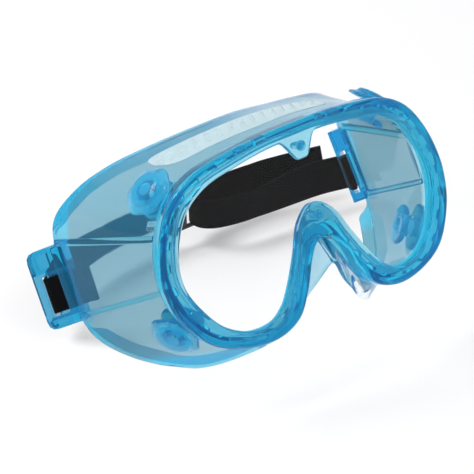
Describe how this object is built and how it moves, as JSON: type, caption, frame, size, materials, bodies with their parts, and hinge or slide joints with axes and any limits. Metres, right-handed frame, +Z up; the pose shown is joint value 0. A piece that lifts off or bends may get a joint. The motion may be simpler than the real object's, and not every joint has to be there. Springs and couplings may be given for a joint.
{
  "type": "safety goggles",
  "caption": "Wrap-over safety goggles: one-piece soft translucent blue mask, wide clear lens, domed vent caps, and an adjustable black elastic head strap.",
  "frame": {"origin": "on the table plane, under the middle of the bounding box", "axes": "+Z up from the table, -Y the way the lens faces, +X to the wearer's left, so to the right when the goggles are seen from the front"},
  "size_m": [0.1802, 0.1254, 0.1085],
  "materials": {
    "blue_pvc": "soft translucent blue PVC, smooth and slightly glossy",
    "clear_lens": "clear polycarbonate sheet, glossy",
    "clear_peg": "small clear plastic rivet",
    "vent_cap": "translucent blue moulded plastic",
    "vent_seat": "translucent blue moulded plastic",
    "black_elastic": "woven elastic with ribs along its length",
    "black_nylon": "satin moulded nylon"
  },
  "bodies": {
    "mask": {"frame_body": "blue_pvc", "lens": "clear_lens", "lens_peg_top": "clear_peg", "lens_peg_nose": "clear_peg", "vent_seat_top_left": "vent_seat", "vent_seat_top_right": "vent_seat", "vent_seat_bottom_left": "vent_seat", "vent_seat_bottom_right": "vent_seat", "strap_end_left": "black_elastic", "strap_end_right": "black_elastic"},
    "strap": {"head_strap_left": "black_elastic", "head_strap_right": "black_elastic", "strap_slider": "black_nylon"},
    "cap top left": {"vent_cap_top_left": "vent_cap"},
    "cap top right": {"vent_cap_top_right": "vent_cap"},
    "cap bottom left": {"vent_cap_bottom_left": "vent_cap"},
    "cap bottom right": {"vent_cap_bottom_right": "vent_cap"}
  },
  "joints": [
    {"name": "strap_swing", "type": "hinge", "parent": "mask", "child": "strap", "pos_m": [0, 0.04151, 0.01942], "axis": [1, 0, 0], "range_deg": [-15, 30]},
    {"name": "cap_pull_top_left", "type": "slide", "parent": "mask", "child": "cap top left", "axis": [0.6425, 0.098, 0.76], "range_m": [0, 0.006]},
    {"name": "cap_pull_top_right", "type": "slide", "parent": "mask", "child": "cap top right", "axis": [-0.6425, 0.098, 0.76], "range_m": [0, 0.006]},
    {"name": "cap_pull_bottom_left", "type": "slide", "parent": "mask", "child": "cap bottom left", "axis": [0.8028, -0.5004, -0.3243], "range_m": [0, 0.006]},
    {"name": "cap_pull_bottom_right", "type": "slide", "parent": "mask", "child": "cap bottom right", "axis": [-0.8028, -0.5004, -0.3243], "range_m": [0, 0.006]}
  ]
}
